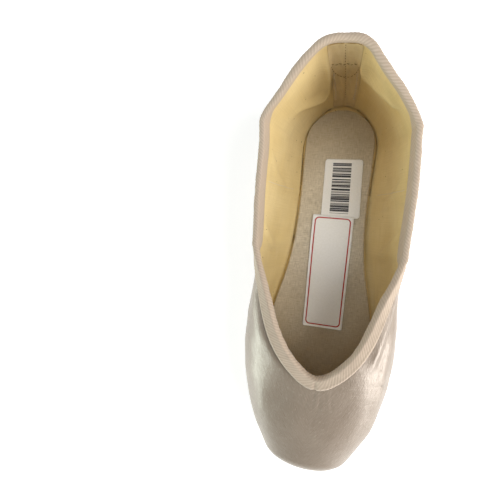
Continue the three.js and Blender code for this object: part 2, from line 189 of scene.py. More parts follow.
def section(st, vs):
    """Points [outwards, height] of a section at each v."""
    a = np.linspace(0, math.pi / 2, 41)
    out = st["sole"] + (st["width"] - st["sole"]) * np.sin(a) ** (2 / st["n"])
    up = st["widest"] - (st["widest"] - st["bottom"]) * np.abs(np.cos(a)) ** (2 / st["n"])
    reach = np.clip(1 - (st["top"] - up) / CURL_DEPTH, 0, 1)
    out = out - st["curl"] * reach**2
    if st["end"] > 0:
        a = np.linspace(0, st["end"], 61)[1:]
        out = np.append(out, st["width"] * np.abs(np.cos(a)) ** (2 / CROWN_N))
        up = np.append(up, st["widest"] + st["shoulder"] * np.sin(a) ** (2 / CROWN_N))
    length = np.append(0, np.cumsum(np.hypot(np.diff(out), np.diff(up))))
    w = np.clip((vs - V_SOLE) / (1 - V_SOLE), 0, 1) * length[-1]
    x, z = np.interp(w, length, out), np.interp(w, length, up)
    flat = vs < V_SOLE
    x[flat] = st["opening"] + (st["sole"] - st["opening"]) * np.maximum(0, vs[flat]) / V_SOLE
    z[flat] = st["bottom"]
    return x, z, length[-1]


def surface(s, vs):
    """Points of the last at s, one for each v, on the +x side."""
    st = station(s)
    x, z, _ = section(st, np.asarray(vs, float))
    mid = (st["bottom"] + st["top"]) / 2
    x = x * st["scale"]
    z = mid + (z - mid) * st["scale"]
    a = math.radians(st["turn"])
    fade = max(0, 1 - st["at"] / LEAN_FADES_AT) ** 2
    y = (st["at"] + x * math.sin(a) - LEAN * (z - mid) * fade - CROWN * (1 - st["scale"] ** 2))
    return np.stack([x * math.cos(a), y, z], -1)


def girth(s):
    """Length of a section's wall for one unit of v."""
    return section(station(s), np.zeros(1))[2] / (1 - V_SOLE)


def grid_of(ss, vs):
    return np.array([surface(s, vs) for s in ss])


def grid_normals(ss, vs):
    """Outward normals of the last on a grid, from neighbours a little way off."""
    ds, dv = 1.5e-3, 2e-3
    ahead = np.array([surface(min(3, s + ds), vs) for s in ss])
    back = np.array([surface(max(0, s - ds), vs) for s in ss])
    high = grid_of(ss, np.minimum(1, vs + dv))
    low = grid_of(ss, np.maximum(0, vs - dv))
    n = np.cross(ahead - back, high - low)
    n /= np.maximum(1e-12, np.linalg.norm(n, axis=-1, keepdims=True))
    n[ss < FACE_SHARE * 0.9] = np.array([0, -1, -LEAN]) / math.hypot(1, LEAN)
    return n


def wall(ss, grid):
    at = np.array([station(s)["at"] for s in ss])[:, None]
    bottom = np.array([station(s)["bottom"] for s in ss])[:, None]
    w = BOX_WALL + (QUARTER_WALL - BOX_WALL) * smooth(at, 84, 118)
    back = np.clip(ss[:, None] - 1.9, 0, 1)
    w = np.where(ss[:, None] > 1.9, QUARTER_WALL + (HEEL_WALL - QUARTER_WALL) * back, w)
    up = smooth(grid[..., 2] - bottom, 0.2, 9)
    w = TURNED_IN_WALL + (w - TURNED_IN_WALL) * up
    return np.where(ss[:, None] < 1, BOX_WALL, w)


# The part's y at the platform: the insole starts INSOLE_START behind it.
INSOLE_START = 12
Y0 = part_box("insole")[0][1] / MM - INSOLE_START


#
# Soft shape: how this empty shoe leans, and the creases that show.
#
def soften(p):
    """Moves last points [x, y, z] to where the soft cloth really stands."""
    q = p.copy()
    x, y, z = p[..., 0], p[..., 1], p[..., 2]
    high = smooth(z, 12, 55)
    q[..., 0] += -2.0 * high * smooth(y, 105, 165) * (1 - smooth(x, 8, 30))
    # the point of the V sits a little to one side
    q[..., 0] += 1.6 * smooth(z, 30, 50) * smooth(y, 20, 57) * (1 - smooth(y, 70, 110)) \
        * np.exp(-(x / 26) ** 2)
    # the collar's left back corner stands out, the right one is pinched
    left = np.exp(-(((x + 24) / 11) ** 2 + ((y - 203) / 11) ** 2)) * smooth(z, 25, 58)
    q[..., 0] -= 1.4 * left
    q[..., 1] += 0.6 * left
    corner = np.exp(-((y - 182) / 10) ** 2) * smooth(z, 22, 50) * smooth(-x, 15, 30)
    q[..., 0] -= 1.8 * corner
    q[..., 1] += 1.5 * smooth(z, 38, 60) * smooth(y, 196, 211)
    right = np.exp(-(((x - 20) / 8) ** 2 + ((y - 207) / 9) ** 2)) * smooth(z, 30, 58)
    q[..., 0] -= 0.8 * right
    q[..., 1] -= 0.8 * right
    # the top line of an empty shoe is never quite level
    q[..., 2] += 0.5 * high * np.sin(y / 13 + 0.8 + x / 20) * smooth(y, 90, 130)
    return q


def along(p, path, width, height, below=None, ends=0.25):
    """A soft ridge (a trough, when the height is negative) along a path.

    below is the half width on its lower side, where that side is steeper."""
    path = np.array(path, float)
    seg = np.diff(path, axis=0)
    length = np.linalg.norm(seg, axis=1)
    start = np.append(0, np.cumsum(length))
    best = np.full(p.shape[:-1], 1e9)
    share = np.zeros(p.shape[:-1])
    drop = np.zeros(p.shape[:-1])
    for a, d, l, s0 in zip(path, seg, length, start):
        t = np.clip(((p - a) @ d) / (l * l), 0, 1)
        away = p - a - t[..., None] * d
        dist = np.linalg.norm(away, axis=-1)
        near = dist < best
        best = np.where(near, dist, best)
        drop = np.where(near, away[..., 2], drop)
        share = np.where(near, (s0 + t * l) / start[-1], share)
    fade = np.clip(share / ends, 0, 1) * np.clip((1 - share) / ends, 0, 1)
    fade = fade * fade * (3 - 2 * fade)
    if below is not None:
        width = width + (below - width) * smooth(-drop, -0.3, 0.6)
    return height * np.exp(-(best / width) ** 2) * fade


def ripple(p, size, seed, count=9):
    """Smooth irregular ups and downs between about -1 and 1, about size millimetres apart."""
    r = np.random.RandomState(seed)
    total = np.zeros(p.shape[:-1])
    for _ in range(count):
        d = r.normal(size=3)
        d *= 2 * math.pi / (size * r.uniform(0.7, 1.5) * np.linalg.norm(d))
        total += np.sin(p @ d + r.uniform(0, 6.28))
    return total / math.sqrt(count)


# Creases of the satin: path on the last, half width and height, all in millimetres.
SATIN_CREASES = [
    # the hollow between the tape and the left of the vamp, and the swell outside it
    ([(-35, 114, 46), (-30, 93, 47), (-25.6, 80, 49), (-21, 70, 50.4), (-14, 61, 50.4),
      (-7, 54, 49.6)], 2.2, -1.2),
    ([(-37.5, 106, 41), (-34, 90, 43), (-30.5, 78, 45), (-26, 67, 46.5)], 3.6, 0.55),
    # two folds beside the tape on the right, with a ridge between them
    ([(34, 110, 46), (30, 96, 47.6), (26.6, 86, 49.2), (22.4, 77, 50.6), (17, 69, 51)],
     1.5, -1.1),
    ([(35.6, 108, 43), (32, 93, 45.4), (29.4, 82, 46.8), (27.2, 72, 47.4), (26.2, 63, 46.6)],
     2.4, 1.0),
    ([(37, 106, 40), (34.4, 92, 42.4), (32.2, 82, 44), (30.2, 73, 44.6), (29.2, 58, 43)],
     2.6, -0.75),
    # the edges of the box's wings under the satin
    ([(31, 74, 44.5), (32.6, 58, 39.5), (33.8, 44, 35.5), (33, 28, 29), (29, 14, 24)],
     3.8, 0.9),
    ([(-31, 76, 44), (-30, 56, 41), (-27.6, 38, 38), (-24, 20, 34)], 6, 0.5),
    ([(-37, 84, 34), (-38.6, 66, 28), (-37, 50, 24)], 5, -0.6),
    ([(37, 86, 33), (38.6, 68, 28), (37.4, 52, 24)], 5, -0.6),
    # drags at the waist and the heel
    ([(38, 118, 40), (35, 128, 30), (30, 138, 20)], 3, -0.7),
    ([(-38, 120, 40), (-35, 131, 29), (-29, 141, 19)], 3, -0.7),
    ([(36, 150, 42), (34, 160, 30), (29, 170, 18)], 3.2, 0.6),
    ([(-36, 152, 42), (-34, 163, 29), (-28, 172, 17)], 3.2, 0.6),
    ([(12, 213, 48), (14, 212, 34), (18, 209, 20)], 2.6, -0.6),
    ([(-12, 213, 48), (-15, 212, 33), (-19, 208, 19)], 2.6, -0.6),
]
# Folds of the loose lining, positive into the shoe.
LINING_FOLDS = [
    # the left pouch: its side runs down beside the back strip, then its hem turns up to the left
    ([(-9.2, 214, 54), (-9.8, 213, 42), (-10.6, 211.6, 29), (-12, 208.6, 19), (-15, 205, 16.5),
      (-20, 200.5, 21), (-24.5, 195, 27), (-28, 189, 31)], 3.4, 3.0, 0.9),
    ([(-9, 213.5, 40), (-9, 211.8, 27), (-11, 208, 14.5), (-15, 204, 12.5), (-21, 199, 17)],
     1.5, -0.8),
    # the right panel: its lower edge runs from the strip's top forward and up to the collar
    ([(9.2, 214, 50), (10.4, 212.8, 38), (13, 209.4, 34), (17.4, 205.4, 37), (24, 197, 41),
      (29.5, 189, 44.5), (33, 182, 47)], 4.2, 3.1, 0.9),
    ([(10, 211.5, 30), (16, 204.5, 31.5), (25, 194.5, 36), (31, 185, 40)], 2.0, -0.7),
    ([(15, 207, 20), (20.5, 201, 14), (24, 194, 10)], 2.0, 1.3),
    ([(-34.6, 168, 40), (-33, 158, 28), (-28, 150, 15)], 2.2, 1.0),
    ([(-35.4, 130, 38), (-32.6, 121, 26), (-29, 112, 16)], 2.0, 1.2),
    ([(-35, 142, 30), (-31, 134, 18), (-27, 127, 13)], 2.0, -0.8),
    ([(34.4, 160, 38), (32, 150, 24), (27, 142, 14)], 2.2, 1.0),
    ([(35.4, 132, 38), (32, 124, 26), (28, 116, 16)], 2.2, 1.2),
]
# The lap in the lining, the pleats under the toe, and the crinkles below the V.
LINING_SEAM = 150.0
PLEAT_CENTRE, PLEAT_COUNT, PLEAT_DEPTH = 37, 34, 0.65
PUCKER_X, PUCKER_Y, PUCKER_HEIGHT = 1.6, 50.5, 0.2


def pleats(p):
    """Grooves of the satin gathered under the toe, running out from the sole's front."""
    x, y, z = p[..., 0], p[..., 1], p[..., 2]
    ahead = PLEAT_CENTRE - y
    angle = np.arctan2(x, ahead)
    groove = (0.5 + 0.5 * np.cos(angle * PLEAT_COUNT + 1.1 * np.sin(angle * 5))) ** 5
    fade = (1 - smooth(z, 4.5, 13)) * (1 - smooth(np.abs(angle), 1.5, 2.1)) * smooth(ahead, -12, 4)
    return -PLEAT_DEPTH * groove * fade


def puckers(p):
    """Small crinkles in the satin just below the V's point."""
    x, down = p[..., 0] - PUCKER_X, PUCKER_Y - p[..., 1]
    fade = smooth(down, -2, 1) * (1 - smooth(down, 3, 15)) * np.exp(-(x / 8) ** 2)
    width = 1 + 0.035 * np.maximum(0, down)
    waves = np.sin(x * 2.5 / width + 0.7) + 0.6 * np.sin(x * 1.37 / width + down * 0.3)
    return PUCKER_HEIGHT * fade * smooth(p[..., 2], 30, 40) * waves


def satin_relief(p):
    total = sum(along(p, *c) for c in SATIN_CREASES) + pleats(p) + puckers(p)
    y, z = p[..., 1], p[..., 2]
    loose = smooth(y, 80, 115)
    total += (0.12 + 0.30 * loose) * ripple(p * [1, 0.6, 1], 22, 3) * smooth(z, 6, 14)
    total += (0.05 + 0.05 * loose) * ripple(p * [1, 0.5, 1], 8, 4) * smooth(z, 6, 14)
    under = (1 - smooth(z, 3.2, 4.2)) * smooth(y, 12, 16)
    return np.where(under > 0, np.minimum(total, 0.1), total)


def lining_relief(p):
    total = sum(along(p, *c) for c in LINING_FOLDS)
    total += 0.35 * ripple(p * [1, 1, 0.6], 26, 11) * smooth(p[..., 2], 10, 20)
    total += 0.10 * ripple(p, 9, 12)
    # the heel's lining laps over the front one, with a raised seam
    total += 0.45 * smooth(p[..., 1], LINING_SEAM - 0.6, LINING_SEAM + 0.6)
    total += 0.35 * np.exp(-((p[..., 1] - LINING_SEAM - 1.4) / 0.9) ** 2)
    return total


#
# Mesh helpers
#
def make_object(name, verts, faces, material, uvs=None):
    """A mesh object from points in millimetres on the last, with one UV per vertex."""
    v = np.asarray(verts, float).reshape(-1, 3).copy()
    v[:, 1] += Y0
    mesh = bpy.data.meshes.new(name)
    mesh.from_pydata((v * MM).tolist(), [], [tuple(int(i) for i in f) for f in faces])
    mesh.materials.append(material)
    if uvs is not None:
        layer = mesh.uv_layers.new(name="uv")
        index = np.empty(len(mesh.loops), int)
        mesh.loops.foreach_get("vertex_index", index)
        layer.data.foreach_set("uv", np.asarray(uvs, float).reshape(-1, 2)[index].ravel())
    mesh.polygons.foreach_set("use_smooth", [True] * len(mesh.polygons))
    mesh.update()
    obj = bpy.data.objects.new(name, mesh)
    bpy.context.collection.objects.link(obj)
    return obj


def grid_faces(rows, cols, start=0, flip=False, wrap=False):
    """Four-sided faces over a grid of points, closed round the columns with wrap."""
    r = np.arange(rows - 1)[:, None]
    c = np.arange(cols if wrap else cols - 1)[None, :]
    a = start + r * cols + c
    b = start + r * cols + (c + 1) % cols
    d = start + (r + 1) * cols + c
    e = start + (r + 1) * cols + (c + 1) % cols
    f = np.stack([a, b, e, d] if flip else [a, d, e, b], -1)
    return f.reshape(-1, 4)


def finish_piece(obj, replaced=(), weld=0.0):
    """Welds points closer than weld metres, parents the piece to the root body, and hides the CAD
    parts it replaces.
    """
    if weld:
        bm = bmesh.new()
        bm.from_mesh(obj.data)
        bmesh.ops.remove_doubles(bm, verts=bm.verts, dist=weld)
        bmesh.ops.dissolve_degenerate(bm, edges=bm.edges, dist=1e-7)
        bmesh.ops.recalc_face_normals(bm, faces=bm.faces)
        bm.to_mesh(obj.data)
        bm.free()
    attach(obj, "root")
    if replaced:
        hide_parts(*replaced)


def closed_sheet(name, top, under, uv, material):
    """A closed sheet between two grids of points, with the same UVs on both."""
    rows, cols = top.shape[:2]
    count = rows * cols
    rim = np.array([i * cols for i in range(rows)]
                   + [(rows - 1) * cols + j for j in range(1, cols)]
                   + [i * cols + cols - 1 for i in range(rows - 2, -1, -1)]
                   + list(range(cols - 2, 0, -1)))
    after = np.roll(rim, -1)
    faces = [grid_faces(rows, cols), grid_faces(rows, cols, count, flip=True),
             np.stack([rim, after, after + count, rim + count], -1)]
    verts = np.concatenate([top.reshape(-1, 3), under.reshape(-1, 3)])
    uv = uv.reshape(-1, 2) * MM
    obj = make_object(name, verts, np.concatenate(faces), material, np.concatenate([uv, uv]))
    finish_piece(obj)


#
# Materials
#
class Nodes:
    """Builds a node tree with short calls."""

    def __init__(self, name):
        self.material = bpy.data.materials.new(name)
        self.material.use_nodes = True
        self.tree = self.material.node_tree
        self.tree.nodes.clear()
        self.out = self.tree.nodes.new("ShaderNodeOutputMaterial")
        self.bsdf = self.tree.nodes.new("ShaderNodeBsdfPrincipled")
        self.tree.links.new(self.bsdf.outputs[0], self.out.inputs[0])

    def node(self, kind, **inputs):
        n = self.tree.nodes.new("ShaderNode" + kind)
        for key, value in inputs.items():
            key = key.replace("_", " ")
            if key in n.inputs:
                self.put(value, n.inputs[key])
            else:
                setattr(n, key.replace(" ", "_"), value)
        return n

    def put(self, value, socket):
        if isinstance(value, bpy.types.NodeSocket):
            self.tree.links.new(value, socket)
        else:
            socket.default_value = value

    def math(self, op, a, b=0.0):
        n = self.tree.nodes.new("ShaderNodeMath")
        n.operation = op
        self.put(a, n.inputs[0])
        self.put(b, n.inputs[1])
        return n.outputs[0]

    def mix(self, factor, a, b):
        n = self.tree.nodes.new("ShaderNodeMix")
        n.data_type = "RGBA"
        self.put(factor, n.inputs[0])
        self.put(a, n.inputs[6])
        self.put(b, n.inputs[7])
        return n.outputs[2]

    def ramp(self, value, low, high, a=0.0, b=1.0):
        n = self.tree.nodes.new("ShaderNodeMapRange")
        n.clamp = True
        for socket, given in zip(n.inputs, (value, low, high, a, b)):
            self.put(given, socket)
        return n.outputs[0]

    def coords(self, kind="Object"):
        return self.tree.nodes.new("ShaderNodeTexCoord").outputs[kind]

    def scaled(self, vector, scale, rotation=(0, 0, 0)):
        n = self.tree.nodes.new("ShaderNodeMapping")
        self.put(vector, n.inputs[0])
        n.inputs["Scale"].default_value = scale
        n.inputs["Rotation"].default_value = [math.radians(r) for r in rotation]
        return n.outputs[0]

    def noise(self, vector, scale, detail=3.0, roughness=0.55):
        return self.node("TexNoise", Vector=vector, Scale=scale, Detail=detail,
                         Roughness=roughness).outputs[0]

    def wave(self, vector, scale, phase):
        return self.node("TexWave", Vector=vector, Scale=scale, Distortion=0.0, Detail=0.0,
                         Phase_Offset=phase).outputs[1]

    def weave(self, vector, across, along_thread):
        """Threads both ways, from how often the noise changes across and along one."""
        warp = self.noise(self.scaled(vector, (across, along_thread, 1)), 1.0, 2.0)
        weft = self.noise(self.scaled(vector, (along_thread, across, 1)), 1.0, 2.0)
        return self.math("ADD", warp, weft)

    def bump(self, height, distance, strength=1.0, normal=None):
        n = self.node("Bump", Height=height, Distance=distance, Strength=strength)
        if normal is not None:
            self.put(normal, n.inputs["Normal"])
        return n.outputs[0]

    def finish(self, **sockets):
        for key, value in sockets.items():
            self.put(value, self.bsdf.inputs[key.replace("_", " ")])
        return self.material


def rgb(r, g, b):
    return (r, g, b, 1.0)


def satin_material():
    n = Nodes("satin")
    uv = n.coords("UV")
    obj = n.coords("Object")
    patches = n.noise(obj, 28.0, 2.0)
    floats = n.noise(n.scaled(uv, (1300, 150, 1)), 1.0, 2.0)
    picks = n.noise(n.scaled(uv, (230, 1500, 1)), 1.0, 2.0)
    slubs_and_glints = n.noise(n.scaled(uv, (1900, 420, 1)), 1.0, 2.0, 0.5)
    colour = n.mix(n.ramp(patches, 0.35, 0.65), rgb(0.31, 0.243, 0.188), rgb(0.37, 0.297, 0.235))
    colour = n.mix(n.math("MULTIPLY", n.ramp(floats, 0.35, 0.65), 0.45), colour,
                   rgb(0.26, 0.20, 0.15))
    # the slubs raise the satin through the bump below; their lighter colour is painted highlight,
    # small glints painted into the satin
    colour = n.mix(n.ramp(slubs_and_glints, 0.60, 0.72, 0.0, 0.45), colour, rgb(0.56, 0.48, 0.40))
    ripples = n.noise(n.scaled(obj, (1, 0.6, 1)), 90.0, 3.0)
    normal = n.bump(ripples, 0.0007, 0.4)
    normal = n.bump(slubs_and_glints, 0.00022, 0.6, normal)
    normal = n.bump(n.math("ADD", floats, picks), 0.00012, 0.6, normal)
    return n.finish(Base_Color=colour, Roughness=n.ramp(floats, 0.3, 0.7, 0.27, 0.36),
                    Metallic=0.12, Normal=normal, Sheen_Weight=0.12, Sheen_Roughness=0.35,
                    Specular_IOR_Level=0.95)


def tape_material():
    n = Nodes("binding_tape")
    uv = n.coords("UV")
    slanted = n.scaled(uv, (1, 1, 1), (0, 0, -math.degrees(RIB_SLANT)))
    # painted light and shade: the twill ribs are painted darker in their grooves and lighter on
    # their crests
    rib_light_and_shade = n.wave(slanted, math.pi / 10 / (RIB_PITCH * MM), math.pi)
    rib_light_and_shade = n.mix(0.35, rib_light_and_shade, n.noise(slanted, 500.0, 2.0))
    threads = n.noise(n.scaled(uv, (900, 2500, 1)), 1.0, 2.0)
    colour = n.mix(rib_light_and_shade, rgb(0.43, 0.335, 0.25), rgb(0.59, 0.485, 0.38))
    colour = n.mix(n.math("MULTIPLY", threads, 0.3), colour, rgb(0.58, 0.47, 0.40))
    normal = n.bump(threads, 0.00008, 0.6)
    return n.finish(Base_Color=colour, Roughness=0.8, Normal=normal, Sheen_Weight=0.2,
                    Specular_IOR_Level=0.3)


def lining_material():
    n = Nodes("cotton_lining")
    obj = n.coords("Object")
    weave = n.weave(n.coords("UV"), 2600, 60)
    blotch = n.noise(obj, 35.0, 3.0)
    colour = n.mix(n.ramp(blotch, 0.35, 0.7), rgb(0.74, 0.565, 0.26), rgb(0.83, 0.665, 0.35))
    colour = n.mix(n.ramp(weave, 0.8, 1.25, 0.0, 0.35), colour, rgb(0.60, 0.45, 0.22))
    specks = n.noise(obj, 520.0, 1.0)
    colour = n.mix(n.ramp(specks, 0.765, 0.785, 0.0, 0.7), colour, rgb(0.12, 0.07, 0.03))
    normal = n.bump(weave, 0.00012, 0.6)
    return n.finish(Base_Color=colour, Roughness=0.85, Normal=normal, Specular_IOR_Level=0.25,
                    Sheen_Weight=0.15)


def linen_material():
    """Beige linen, with painted shade darker towards the heel and the toe."""
    n = Nodes("linen")
    obj = n.coords("Object")
    weave = n.weave(obj, 2600, 260)
    slub = n.noise(obj, 45.0, 4.0)
    flecks = n.noise(n.scaled(obj, (1, 0.35, 1)), 420.0, 2.0)
    colour = n.mix(n.ramp(weave, 0.75, 1.25), rgb(0.52, 0.45, 0.34), rgb(0.78, 0.70, 0.565))
    colour = n.mix(n.ramp(slub, 0.35, 0.7, 0.0, 0.35), colour, rgb(0.46, 0.39, 0.27))
    colour = n.mix(n.ramp(flecks, 0.66, 0.74, 0.0, 0.3), colour, rgb(0.24, 0.18, 0.10))
    # painted shade: the linen is darker towards the heel and the toe, where the heel's wall and the
    # toe box shade the insole
    ends = n.node("SeparateXYZ", Vector=obj).outputs[1]
    heel = n.ramp(ends, 0.052, 0.078, 0.0, 0.45)
    toe = n.ramp(ends, -0.052, 0.012, 0.55, 0.0)
    colour = n.mix(n.math("ADD", heel, toe), colour, rgb(0.30, 0.23, 0.135))
    normal = n.bump(weave, 0.00018, 0.7)
    return n.finish(Base_Color=colour, Roughness=0.9, Normal=normal, Specular_IOR_Level=0.2)


def leather_material():
    n = Nodes("sole_leather")
    obj = n.coords("Object")
    grain = n.noise(obj, 900.0, 4.0)
    stain = n.noise(n.scaled(obj, (1, 0.4, 1)), 25.0, 3.0)
    colour = n.mix(n.ramp(stain, 0.3, 0.7), rgb(0.50, 0.36, 0.24), rgb(0.62, 0.48, 0.34))
    return n.finish(Base_Color=colour, Roughness=n.ramp(grain, 0.3, 0.7, 0.5, 0.7),
                    Normal=n.bump(grain, 0.0001, 0.5))


def thread_material(name, colour, dark):
    n = Nodes(name)
    twist = n.noise(n.coords("Object"), 2600.0, 1.0)
    return n.finish(Base_Color=n.mix(twist, colour, dark), Roughness=0.75,
                    Normal=n.bump(twist, 0.00005, 0.5), Specular_IOR_Level=0.25)


def strip_material():
    n = Nodes("back_strip_canvas")
    weave = n.weave(n.coords("UV"), 2200, 90)
    blotch = n.noise(n.coords("Object"), 90.0, 3.0)
    colour = n.mix(n.ramp(blotch, 0.35, 0.7), rgb(0.62, 0.48, 0.27), rgb(0.72, 0.57, 0.33))
    colour = n.mix(n.ramp(weave, 0.8, 1.25, 0.0, 0.4), colour, rgb(0.60, 0.45, 0.25))
    return n.finish(Base_Color=colour, Roughness=0.88, Normal=n.bump(weave, 0.00015, 0.7),
                    Specular_IOR_Level=0.2)


def coated_paper(n, dark, light, ink, ink_colour, roughness):
    """White coated paper, printed where ink is 1."""
    grain = n.noise(n.coords("UV"), 900.0, 3.0)
    sheet = n.mix(n.ramp(grain, 0.3, 0.7), dark, light)
    return n.finish(Base_Color=n.mix(ink, sheet, ink_colour), Roughness=roughness,
                    Normal=n.bump(grain, 0.00004, 0.3), Specular_IOR_Level=0.5)


def label_material():
    """Paper with a plain red rounded frame."""
    n = Nodes("label_paper")
    split = n.node("SeparateXYZ", Vector=n.coords("UV"))
    x = n.math("ABSOLUTE", split.outputs[0])
    y = n.math("ABSOLUTE", split.outputs[1])
    # distance to a rounded rectangle, in metres
    half_x, half_y, radius = 0.0098, 0.0316, 0.0022
    past_x = n.math("SUBTRACT", x, half_x - radius)
    past_y = n.math("SUBTRACT", y, half_y - radius)
    dx, dy = n.math("MAXIMUM", past_x, 0.0), n.math("MAXIMUM", past_y, 0.0)
    reach = n.math("SQRT", n.math("ADD", n.math("MULTIPLY", dx, dx), n.math("MULTIPLY", dy, dy)))
    inner = n.math("MINIMUM", n.math("MAXIMUM", past_x, past_y), 0.0)
    signed = n.math("SUBTRACT", n.math("ADD", reach, inner), radius)
    frame_line = n.ramp(n.math("ABSOLUTE", signed), 0.00030, 0.00042, 1.0, 0.0)
    return coated_paper(n, rgb(0.88, 0.87, 0.84), rgb(0.93, 0.92, 0.90), frame_line,
                        rgb(0.45, 0.03, 0.025), 0.45)


def sticker_material():
    """Paper with a block of plain black bars."""
    n = Nodes("sticker_paper")
    uv = n.coords("UV")
    split = n.node("SeparateXYZ", Vector=uv)
    x, y = split.outputs[0], split.outputs[1]
    bars = n.noise(n.scaled(uv, (0, 900, 0)), 1.0, 2.0, 0.8)
    bars = n.ramp(bars, 0.47, 0.49, 0.0, 1.0)
    inside_x = n.ramp(n.math("ABSOLUTE", n.math("ADD", x, 0.0008)), 0.0052, 0.0053, 1.0, 0.0)
    inside_y = n.ramp(n.math("ABSOLUTE", n.math("SUBTRACT", y, 0.0002)), 0.0148, 0.0149, 1.0, 0.0)
    ink = n.math("MULTIPLY", n.math("MULTIPLY", bars, inside_x), inside_y)
    return coated_paper(n, rgb(0.86, 0.85, 0.82), rgb(0.91, 0.90, 0.88), ink,
                        rgb(0.02, 0.02, 0.025), 0.4)


SATIN = satin_material()
THREAD = thread_material("thread", rgb(0.74, 0.65, 0.54), rgb(0.62, 0.52, 0.41))
DARK_THREAD = thread_material("dark_thread", rgb(0.30, 0.21, 0.11), rgb(0.22, 0.15, 0.08))
STRIP = strip_material()
LABEL = label_material()
STICKER = sticker_material()
TAPE = tape_material()
LINING = lining_material()
LINEN = linen_material()
LEATHER = leather_material()

for node, material in (("insole", LINEN), ("outsole", LEATHER)):
    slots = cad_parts[node].data.materials
    if len(slots):
        slots[0] = material
    else:
        slots.append(material)


#
# Upper: satin outside, cotton lining inside, each a thin closed shell
#
def stations_for(step):
    """Places along s about step millimetres apart."""
    face = np.linspace(0, FACE_SHARE, max(4, int(16 / step)))
    edge = np.linspace(FACE_SHARE, 1, max(5, int(9 / step)))
    box = np.arange(s_at(EDGE_RADIUS), s_at(THROAT_POINT), step / (HEEL_CENTRE - EDGE_RADIUS))
    past = np.linspace(0, math.sqrt(THROAT_END - THROAT_POINT), int(74 / step)) ** 2
    throat = np.array([s_at(THROAT_POINT + d) for d in past])
    quarter = np.linspace(s_at(THROAT_END), 2, int(60 / step))
    heel = np.linspace(2, 3, int(50 / step))
    return np.concatenate([face, edge[1:], box[1:], throat, quarter[1:], heel[1:]])


def columns_for(n_sole, n_wall):
    return np.concatenate([np.linspace(0, V_SOLE, n_sole + 1)[:-1],
                           np.linspace(V_SOLE, 1, n_wall)])


def shell_piece(name, material, outer_of, inner_of, step, n_sole, n_wall, replaced=()):
    """A closed shell between two offsets of the last, mirrored to both sides."""
    ss, vs = stations_for(step), columns_for(n_sole, n_wall)
    base = grid_of(ss, vs)
    normal = grid_normals(ss, vs)
    middle = base[..., 0] < 1e-6
    normal[middle, 0] = 0
    normal /= np.linalg.norm(normal, axis=-1, keepdims=True)
    lengths = np.array([girth(s) for s in ss])
    run = run_along(base[:, len(vs) // 2])
    rows, cols = base.shape[:2]
    verts, faces, uvs = [], [], []
    for side in (1, -1):
        p, n = base * [side, 1, 1], normal * [side, 1, 1]
        for k, offset_of in enumerate((outer_of, inner_of)):
            start = len(verts) * rows * cols
            layer = soften(p) + n * offset_of(ss, vs, p, base)[..., None]
            verts.append(layer.reshape(-1, 3))
            u = np.broadcast_to(run[:, None], (rows, cols)) * MM
            w = vs[None, :] * lengths[:, None] * MM * side
            uvs.append(np.stack([w, u], -1).reshape(-1, 2))
            faces.append(grid_faces(rows, cols, start, flip=(side > 0) == (k == 0)))
        # rims at the opening underneath (column 0) and at the collar (last column)
        a = (len(verts) - 2) * rows * cols
        b = (len(verts) - 1) * rows * cols
        between = (ss[:-1] + ss[1:]) / 2
        sole_rim = np.flatnonzero([station(s)["opening"] > 0 for s in between])
        collar_rim = np.flatnonzero(between > s_at(THROAT_POINT))
        for col, r in ((0, sole_rim), (cols - 1, collar_rim)):
            faces.append(np.stack([a + r * cols + col, a + (r + 1) * cols + col,
                                   b + (r + 1) * cols + col, b + r * cols + col], -1))
    obj = make_object(name, np.concatenate(verts), np.concatenate(faces), material,
                      np.concatenate(uvs))
    finish_piece(obj, replaced, weld=2e-6)


# Offsets from the last. Each layer gives way where a crease of the satin presses into it.
def satin_out(ss, vs, p, base):
    return satin_relief(p)


def satin_in(ss, vs, p, base):
    return np.minimum(-0.75, satin_relief(p) - 0.25)


def lining_out(ss, vs, p, base):
    return np.minimum(-0.8, satin_relief(p) - 0.45)


def lining_in(ss, vs, p, base):
    """The lining's folds start below the tape's inner leg."""
    lengths = np.array([girth(s) for s in ss])
    free = smooth((1 - np.asarray(vs))[None, :] * lengths[:, None], 8.3, 12)
    folds = lining_relief(p) * free
    return np.minimum(-wall(ss, base) - folds, lining_out(ss, vs, p, base) - 0.1)


step = 1.0
shell_piece("satin", SATIN, satin_out, satin_in, step, 18,
            76, ("upper",))
shell_piece("lining", LINING, lining_out, lining_in, step * 1.25, 4,
            64)


#
# Binding: a folded tape over the collar's edge
#
# how far it reaches down outside and inside, how much less inside at the heel, its thickness, how
# far it stands over the edge, its gap to the wall, and where its row of stitches runs from its edge
BIND_OUT, BIND_IN, BIND_HEEL_LESS = 5.4, 8.0, 4.4
BIND_THICK, BIND_RIM, BIND_GAP, BIND_STITCH = 0.5, 0.9, 0.25, 1.25
LEG_POINTS, TURN_STEPS, TURN_FLATNESS = 7, 10, 0.75


def nearest_place(target, s, v):
    """The s and v of the last's point nearest to the target, from a place close to it."""
    step_s = 1e-3
    s = min(s, 3 - 2 * step_s)
    for _ in range(10):
        here = surface(s, [v])[0]
        off = target - here
        a = (surface(s + step_s, [v])[0] - here) / step_s
        b = (surface(s, [v - step_s])[0] - here) / -step_s
        aa, ab, bb, ra, rb = a @ a, a @ b, b @ b, a @ off, b @ off
        det = aa * bb - ab * ab
        s = min(max(s + (ra * bb - rb * ab) / det, 1), 3 - 2 * step_s)
        v = min(max(v + (rb * aa - ra * ab) / det, 0.02), 1)
    return s, v


def unit(v):
    return v / max(1e-12, np.linalg.norm(v))


